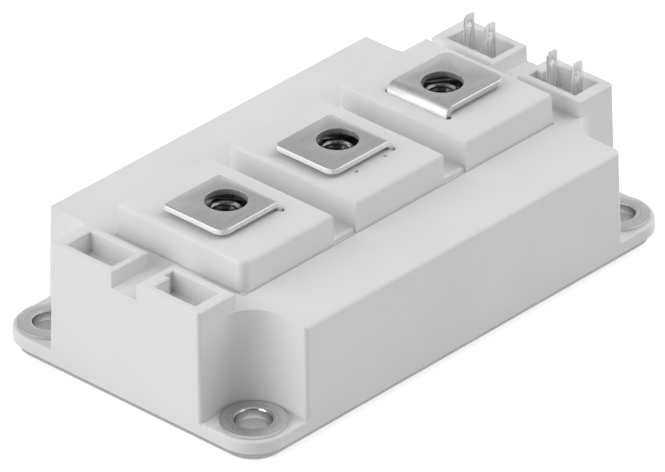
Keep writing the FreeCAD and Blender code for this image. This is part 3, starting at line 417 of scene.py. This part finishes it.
burnished_mouth = finish("burnished_mouth", (0.66, 0.66, 0.65), 0.1, metallic=1.0)
wear = noise(burnished_mouth, 0.6 * MM, detail=3)
tint(burnished_mouth, wear, (0.62, 0.62, 0.61), (0.70, 0.70, 0.69))
gloss(burnished_mouth, wear, 0.07, 0.14)
relief(burnished_mouth, wear, 0.004 * MM)
print("bush finishes:", turned_steel.name, burnished_mouth.name)

# %% The nuts, darkened with painted shade
# Near black is painted shade for the nut deep under each plate; the spangle varies it a little.
nut_painted_shade = finish("nut_painted_shade", (0.15, 0.15, 0.15), 0.2, metallic=1.0)
spangle = noise(nut_painted_shade, 0.8 * MM, detail=4)
tint(nut_painted_shade, spangle, (0.11, 0.11, 0.11), (0.18, 0.18, 0.18))
gloss(nut_painted_shade, spangle, 0.14, 0.24)
relief(nut_painted_shade, spangle, 0.01 * MM)
print("nut finish:", nut_painted_shade.name)

# %% [markdown]
# ## Inside the module
#
# Nothing of this shows from outside, yet the sealant, ceramics, etched copper, chips, wires and gel
# each get the look of the real thing.

# %% Sealant and ceramic
sealant = finish("sealant", (0.74, 0.74, 0.72), 0.6)
ripples = noise(sealant, 2 * MM, detail=2)
tint(sealant, ripples, (0.70, 0.70, 0.68), (0.78, 0.78, 0.76))
gloss(sealant, ripples, 0.5, 0.7)
relief(sealant, ripples, 0.1 * MM)

alumina = finish("alumina", (0.80, 0.79, 0.75), 0.4)
specks = noise(alumina, 0.3 * MM, detail=4)
tint(alumina, specks, (0.77, 0.76, 0.71), (0.83, 0.82, 0.78))
gloss(alumina, specks, 0.32, 0.5)
relief(alumina, specks, 0.005 * MM)
print("sealant and alumina ready")

# %% Copper, silicon, aluminium
etched_copper = finish("etched_copper", (0.72, 0.36, 0.24), 0.35, metallic=1.0)
stains = noise(etched_copper, 4 * MM, detail=5)
tint(etched_copper, stains, (0.60, 0.28, 0.18), (0.80, 0.44, 0.31))
gloss(etched_copper, stains, 0.25, 0.5)
relief(etched_copper, noise(etched_copper, 0.2 * MM), 0.004 * MM)

chip_silicon = finish("chip_silicon", (0.10, 0.11, 0.13), 0.25, metallic=0.6)
cells = noise(chip_silicon, 0.5 * MM, stretch=(1, 6, 1), detail=1)
tint(chip_silicon, cells, (0.08, 0.09, 0.12), (0.20, 0.20, 0.22))
gloss(chip_silicon, cells, 0.15, 0.35)

drawn_aluminium = finish("drawn_aluminium", (0.76, 0.76, 0.77), 0.35, metallic=1.0)
draw_lines = noise(drawn_aluminium, 1 * MM, stretch=(8, 1, 8), detail=2)
tint(drawn_aluminium, draw_lines, (0.68, 0.68, 0.69), (0.82, 0.82, 0.83))
gloss(drawn_aluminium, draw_lines, 0.25, 0.45)
print("copper, silicon and aluminium ready")

# %% Clear gel
clear_gel = finish("clear_gel", (0.90, 0.93, 0.93), 0.12)
gel_shader = clear_gel.node_tree.nodes["Principled BSDF"]
gel_shader.inputs["Transmission Weight"].default_value = 0.9
gel_shader.inputs["IOR"].default_value = 1.41
haze = noise(clear_gel, 6 * MM, detail=3)
gloss(clear_gel, haze, 0.08, 0.2)
relief(clear_gel, haze, 0.2 * MM)
print("gel finish:", clear_gel.name)

# %% Dress the solids that stay as they are
DRESS = {
    "base_plate": base_nickel,
    "base_seal": sealant,
    "link_wires": drawn_aluminium,
    "silicone_gel": clear_gel,
}
for end in ("left", "right"):
    DRESS["substrate_ceramic_" + end] = alumina
    DRESS["substrate_back_copper_" + end] = etched_copper
    DRESS["substrate_top_copper_" + end] = etched_copper
    DRESS["switch_chips_" + end] = chip_silicon
    DRESS["diode_chips_" + end] = chip_silicon
    DRESS["bond_wires_" + end] = drawn_aluminium
for name, material in DRESS.items():
    nodes[name].data.materials.clear()
    nodes[name].data.materials.append(material)
print(len(DRESS), "solids dressed")

# %% [markdown]
# ## Pieces with worked edges
#
# A solid leaves the drawing board with knife edges. Real strip is rounded by the stamping tool
# and shows a bright line of light all along. All pieces but the bushes start from a copy of
# their solid. The copy comes as loose triangles, so its points are merged and its flat faces are
# joined. On the busbars and the tabs every sharp edge is then bevelled.

# %% Helpers for modelling
MERGE, FLAT = 0.0005 * MM, math.radians(0.5)
SHARP, SMOOTH = math.radians(30), math.radians(35)
EXACT = 0.01 * MM


def alone(piece):
    """Makes a piece the only selected and the active one."""
    bpy.ops.object.select_all(action="DESELECT")
    piece.select_set(True)
    bpy.context.view_layer.objects.active = piece


def solid_copy(source, name):
    """A copy of a solid's mesh as one closed skin with whole flat faces."""
    made = bpy.data.objects.new(name, nodes[source].data.copy())
    made.data.name = name
    scene.collection.objects.link(made)
    made.data.materials.clear()
    alone(made)
    bpy.ops.object.mode_set(mode="EDIT")
    bpy.ops.mesh.select_all(action="SELECT")
    bpy.ops.mesh.remove_doubles(threshold=MERGE)
    bpy.ops.mesh.dissolve_limited(angle_limit=FLAT)
    bpy.ops.object.mode_set(mode="OBJECT")
    return made


def round_edges(piece, width):
    """Bevels all sharp edges."""
    alone(piece)
    bevel = piece.modifiers.new("worn_edges", "BEVEL")
    bevel.width = width
    bevel.segments = 2
    bevel.limit_method = "ANGLE"
    bevel.angle_limit = SHARP
    bpy.ops.object.modifier_apply(modifier=bevel.name)
    bpy.ops.object.shade_smooth_by_angle(angle=SMOOTH)


def hand_over(piece, slot, *replaced):
    """The piece rides on the module and stands for its solid, which is hidden. The slot is not
    used.
    """
    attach(piece, "root")
    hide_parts(*replaced)


def paint(piece, material, test):
    """Gives one more material to the faces whose centre and normal pass a test."""
    piece.data.materials.append(material)
    last = len(piece.data.materials) - 1
    count = 0
    for face in piece.data.polygons:
        if test(face.center, face.normal):
            face.material_index = last
            count += 1
    return count


print("helpers ready: alone, solid_copy, round_edges, hand_over, paint")

# %% [markdown]
# ### The busbars
#
# Each busbar is one strip that comes up through a slot, bends over and ends as a plate with a
# clearance hole. The cut faces take the sheared finishes, whose brightness is painted light: a
# painted highlight along the end of the strip, duller painted shade along its sides and darker
# painted shade in the hole. The upright outside of a bend isn't cut, yet it takes the same white
# finish as a painted highlight, and the band above it a greyer, rougher one. Faces are told apart
# by their place and their normal: a tilt says how far the normal points up, and a turn how far it
# points along x or y. The left plate is also a little shorter at its free edge than its solid,
# which lies nearer to the photograph.

# %% Round the busbars' edges
BUSBAR_EDGE = 0.12 * MM
PLATE_TOP, PLATE_BOTTOM = 30.5 * MM, 29.4 * MM
IN_SIGHT = PLATE_BOTTOM - 1 * MM
SCREW_AXES = {"left": -28.0 * MM, "middle": 0.0, "right": 26.8 * MM}
SCREW_Y = -0.5 * MM
SOLID_HOLE, PLATE_HOLE, MOUTH_ROLL = 4.1 * MM, 3.75 * MM, 0.12 * MM
REACH, FREE_EDGE, HALF_WIDTH = 6.75 * MM, 8.7 * MM, 7.0 * MM
BENDS = {0.3 * MM: 0.9 * MM, 1.4 * MM: 2.0 * MM}
SOLID_CORNER = 1.8 * MM
CORNERS = {"left": (0.8, 2.0), "middle": (1.3, 1.9), "right": (1.8, 1.8)}
FREE_TRIM = {"left": 0.35 * MM, "middle": 0, "right": 0}
ON_ARC = 0.02 * MM
# Masks by tilt and turn: sides take painted shade, ends and bends a painted highlight, holes a
# darker painted shade.
SIDE_TILT, SIDE_TURN = 0.5, 0.5
PAINTED_HIGHLIGHT_TILT, PAINTED_HIGHLIGHT_TURN = 0.45, 0.8
BAND_TILT, BAND_TURN = (0.45, 0.97), 0.25
WALL_TILT = 0.95


def from_screw(side, spot):
    """How far a spot lies from the screw axis of one busbar."""
    return math.hypot(spot.x - SCREW_AXES[side], spot.y - SCREW_Y)


def widen_arcs(piece, axes, corner, turn, radii):
    """Gives the arcs that round one corner new radii. Both ends still meet their flat faces.

    Axes are the two directions the arc lies in, corner is the sharp corner, turn points from
    the arc's centre to it, and radii says which radius becomes which.
    """
    across, along = axes
    old_inset, new_inset = max(radii), max(radii.values())
    for point in piece.data.vertices:
        step = [
            (point.co[across] - corner[0]) * turn[0] + old_inset,
            (point.co[along] - corner[1]) * turn[1] + old_inset,
        ]
        reach = math.hypot(*step)
        if min(step) < -EXACT or max(step) > old_inset + EXACT:
            continue
        for old, new in radii.items():
            if abs(reach - old) < ON_ARC:
                for axis, place, sign, part in zip(axes, corner, turn, step):
                    point.co[axis] = place + sign * (part / reach * new - new_inset)


def set_plate(piece, side, down):
    """Closes the plate's hole a little and trims its free edge."""
    for point in piece.data.vertices:
        if point.co.z < PLATE_BOTTOM - EXACT:
            continue
        spot = Vector((point.co.x - SCREW_AXES[side], point.co.y - SCREW_Y, 0))
        if abs(spot.length - SOLID_HOLE) < ON_ARC:
            spot *= PLATE_HOLE / SOLID_HOLE
            point.co.x, point.co.y = SCREW_AXES[side] + spot.x, SCREW_Y + spot.y
        elif down * spot.x < -FREE_EDGE / 2:
            point.co.x += down * FREE_TRIM[side]


def roll_mouth(piece, side):
    """Rounds the upper edge of the plate's hole, where the punch drew the strip in."""
    alone(piece)
    for edge in piece.data.edges:
        ends = [piece.data.vertices[i].co for i in edge.vertices]
        edge.select = all(
            end.z > PLATE_TOP - EXACT and abs(from_screw(side, end) - PLATE_HOLE) < ON_ARC
            for end in ends)
    for point in piece.data.vertices:
        point.select = False
    for face in piece.data.polygons:
        face.select = False
    bpy.ops.object.mode_set(mode="EDIT")
    bpy.ops.mesh.select_mode(type="EDGE")
    bpy.ops.mesh.bevel(offset=MOUTH_ROLL, segments=5, affect="EDGES")
    bpy.ops.object.mode_set(mode="OBJECT")


for side, screw_x in SCREW_AXES.items():
    busbar = solid_copy("main_terminal_" + side, "busbar_" + side)
    busbar.data.materials.append(busbar_plating)
    down = -1 if side == "right" else 1
    widen_arcs(busbar, (0, 2), (screw_x + down * REACH, PLATE_TOP), (down, 1), BENDS)
    for radius, wards in zip(CORNERS[side], (1, -1)):
        widen_arcs(
            busbar, (0, 1), (screw_x - down * FREE_EDGE, SCREW_Y + wards * HALF_WIDTH),
            (-down, wards), {SOLID_CORNER: radius * MM})
    set_plate(busbar, side, down)
    roll_mouth(busbar, side)
    round_edges(busbar, BUSBAR_EDGE)
    # The long sides get the duller copy: painted shade.
    cut = paint(
        busbar, sheared_side_painted_shade,
        lambda centre, normal: centre.z > IN_SIGHT and abs(normal.z) < SIDE_TILT
        and abs(normal.y) > SIDE_TURN)
    # Ends and the upright outside of each bend get the white copy: a painted highlight.
    cut += paint(
        busbar, sheared_end_painted_highlight,
        lambda centre, normal: centre.z > IN_SIGHT and abs(normal.z) < PAINTED_HIGHLIGHT_TILT
        and abs(normal.x) > PAINTED_HIGHLIGHT_TURN)
    bend = paint(
        busbar, stretched_bend,
        lambda centre, normal: centre.z > IN_SIGHT and down * normal.x > BAND_TURN
        and BAND_TILT[0] < normal.z < BAND_TILT[1])
    # The hole's wall gets the darkest copy: painted shade.
    wall = paint(
        busbar, hole_wall_painted_shade,
        lambda centre, normal: centre.z > IN_SIGHT
        and (centre.z < PLATE_TOP - EXACT or normal.z < WALL_TILT)
        and from_screw(side, centre) < PLATE_HOLE + MOUTH_ROLL)
    hand_over(busbar, "tinned_busbar", "main_terminal_" + side)
    print(busbar.name, len(busbar.data.polygons), "faces:", cut, "sheared,", bend, "on the bend,",
          wall, "in the hole")

# %% [markdown]
# ### The signal tabs
#
# The tip of a blade tab is coined to a wedge, so that a receptacle slides on. The squeeze across
# the thickness, about the tab's own middle, is meant for the highest points alone. The copy's
# edges and faces are still picked, so it takes the whole tab: 0.2 mm thick here, 0.5 mm in the
# solid.

# %% Coin the tabs
TAB_EDGE, TIP_SHARE = 0.05 * MM, 0.4
for name in ("gate_tab_far", "sense_tab_far", "gate_tab_near", "sense_tab_near"):
    tab = solid_copy(name, name.replace("tab", "blade"))
    tab.data.materials.append(tab_plating)
    low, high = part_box(name)
    middle = Vector(((low.x + high.x) / 2, (low.y + high.y) / 2, high.z))
    alone(tab)
    for point in tab.data.vertices:
        point.select = point.co.z > high.z - EXACT
    bpy.ops.object.mode_set(mode="EDIT")
    bpy.ops.transform.resize(value=(1, TIP_SHARE, 1), center_override=middle)
    bpy.ops.object.mode_set(mode="OBJECT")
    round_edges(tab, TAB_EDGE)
    hand_over(tab, "tinned_busbar", name)
    print(tab.name, len(tab.data.polygons), "faces")

# %% [markdown]
# ### The bushes
#
# Each bush is a turned part, so it is made the way a lathe makes it: half of its section is
# drawn once and spun round the axis. The section has what the solid leaves out, a rounded mouth
# and a narrow bevel along the outer edge, both of which catch the light.

# %% Turn the bushes
BUSH_BORE, BUSH_NECK, BUSH_FLANGE = 3.2 * MM, 4.4 * MM, 5.9 * MM
BUSH_FOOT, BUSH_SHOULDER, BUSH_TOP = 3.0 * MM, 4.25 * MM, 4.95 * MM
MOUTH, BEVEL_WIDTH, BEVEL_DROP = 0.5 * MM, 0.4 * MM, 0.11 * MM
BUSH_STEPS, MOUTH_STEPS, MOUTH_TILT = 128, 6, 0.97
BUSH_SMOOTH = math.radians(25)

section = [(BUSH_BORE, BUSH_FOOT), (BUSH_NECK, BUSH_FOOT), (BUSH_NECK, BUSH_SHOULDER)]
section += [(BUSH_FLANGE, BUSH_SHOULDER), (BUSH_FLANGE, BUSH_TOP - BEVEL_DROP)]
section += [(BUSH_FLANGE - BEVEL_WIDTH, BUSH_TOP)]
for step in range(MOUTH_STEPS + 1):
    angle = math.radians(90 + 90 * step / MOUTH_STEPS)
    section.append((
        BUSH_BORE + MOUTH * (1 + math.cos(angle)), BUSH_TOP - MOUTH * (1 - math.sin(angle))))


def turned_bush(name, x, y):
    """One bush, spun from the section round its own axis. A full turn joins up by itself."""
    bpy.ops.object.select_all(action="DESELECT")
    bpy.ops.mesh.primitive_circle_add(vertices=len(section), location=(x, y, 0))
    made = bpy.context.object
    made.name = made.data.name = name
    bpy.ops.object.transform_apply()
    for point, (radius, height) in zip(made.data.vertices, section):
        point.co = (x + radius, y, height)
    bpy.ops.object.mode_set(mode="EDIT")
    bpy.ops.mesh.select_all(action="SELECT")
    bpy.ops.mesh.spin(steps=BUSH_STEPS, angle=math.tau, center=(x, y, 0), axis=(0, 0, 1))
    bpy.ops.mesh.select_all(action="SELECT")
    bpy.ops.mesh.normals_make_consistent(inside=False)
    bpy.ops.object.mode_set(mode="OBJECT")
    bpy.ops.object.shade_smooth_by_angle(angle=BUSH_SMOOTH)
    return made


mouth = (BUSH_BORE + EXACT, BUSH_BORE + MOUTH)
for end, side_x in (("left", -1), ("right", 1)):
    for edge, side_y in (("front", -1), ("rear", 1)):
        bush = turned_bush(f"bush_{end}_{edge}", side_x * HOLE_X, side_y * HOLE_Y)
        bush.data.materials.append(turned_steel)
        polished = paint(
            bush, burnished_mouth,
            lambda centre, normal: normal.z < MOUTH_TILT and centre.z > BUSH_TOP - MOUTH
            and mouth[0] < math.hypot(abs(centre.x) - HOLE_X, abs(centre.y) - HOLE_Y) < mouth[1])
        hand_over(bush, "bush_steel", f"mounting_bush_{end}_{edge}")
        print(bush.name, len(bush.data.polygons), "faces,", polished, "in the mouth")

# %% [markdown]
# ### The nuts' threads
#
# Through each plate's hole the thread of the nut below shows as dark and bright arcs. A thread
# is a groove that winds round the bore: one small trapezoid is swept round the axis while it
# climbs one pitch a turn, its ends are closed, and a Boolean takes it out of the nut.

# %% Cut the threads
PITCH = 1.0 * MM
BORE, THREAD, OVERCUT = 2.5 * MM, 3.0 * MM, 0.1 * MM
ROOT_HALF, MOUTH_HALF = 0.0625 * MM, 0.43 * MM
TURNS, THREAD_STEPS = 7, 48
nut_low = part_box("terminal_nuts")[0]


def thread_cutter(x, y):
    """A closed helical groove round one screw's axis."""
    bpy.ops.object.select_all(action="DESELECT")
    start = nut_low.z - PITCH
    bpy.ops.mesh.primitive_plane_add(
        size=1, location=(x + (BORE + THREAD) / 2, y, start), rotation=(math.radians(90), 0, 0))
    cutter = bpy.context.object
    bpy.ops.object.transform_apply()
    for point in cutter.data.vertices:
        outside = point.co.x > x + (BORE + THREAD) / 2
        above = point.co.z > start
        reach = THREAD if outside else BORE - OVERCUT
        half = ROOT_HALF if outside else MOUTH_HALF
        point.co = (x + reach, y, start + (half if above else -half))
    scene.cursor.location = (x, y, 0)
    bpy.ops.object.origin_set(type="ORIGIN_CURSOR")
    sweep = cutter.modifiers.new("thread", "SCREW")
    sweep.screw_offset = PITCH
    sweep.iterations = TURNS
    sweep.steps = sweep.render_steps = THREAD_STEPS
    bpy.ops.object.modifier_apply(modifier=sweep.name)
    bpy.ops.object.transform_apply()
    bpy.ops.object.mode_set(mode="EDIT")
    bpy.ops.mesh.select_all(action="DESELECT")
    bpy.ops.mesh.select_mode(type="EDGE")
    bpy.ops.mesh.select_non_manifold()
    bpy.ops.mesh.fill_holes(sides=0)
    bpy.ops.mesh.select_all(action="SELECT")
    bpy.ops.mesh.normals_make_consistent(inside=False)
    bpy.ops.object.mode_set(mode="OBJECT")
    return cutter


nuts = solid_copy("terminal_nuts", "threaded_nuts")
nuts.data.materials.append(nut_painted_shade)
for x in SCREW_AXES.values():
    cutter = thread_cutter(x, SCREW_Y)
    alone(nuts)
    cut = nuts.modifiers.new("thread", "BOOLEAN")
    cut.operation = "DIFFERENCE"
    cut.solver = "EXACT"
    cut.object = cutter
    bpy.ops.object.modifier_apply(modifier=cut.name)
    bpy.data.objects.remove(cutter)
alone(nuts)
bpy.ops.object.shade_smooth_by_angle(angle=SHARP)
hand_over(nuts, "nut_steel", "terminal_nuts")
print(nuts.name, len(nuts.data.polygons), "faces")

# %% [markdown]
# ## Sizes
#
# The box of the dressed module is printed, as the box of its solids was at the start. The
# dressed module must stay inside the box of its solids.

# %% Print the sizes
low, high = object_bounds()
print("visual box in mm:", [round(v / MM, 2) for v in (*low, *high)])
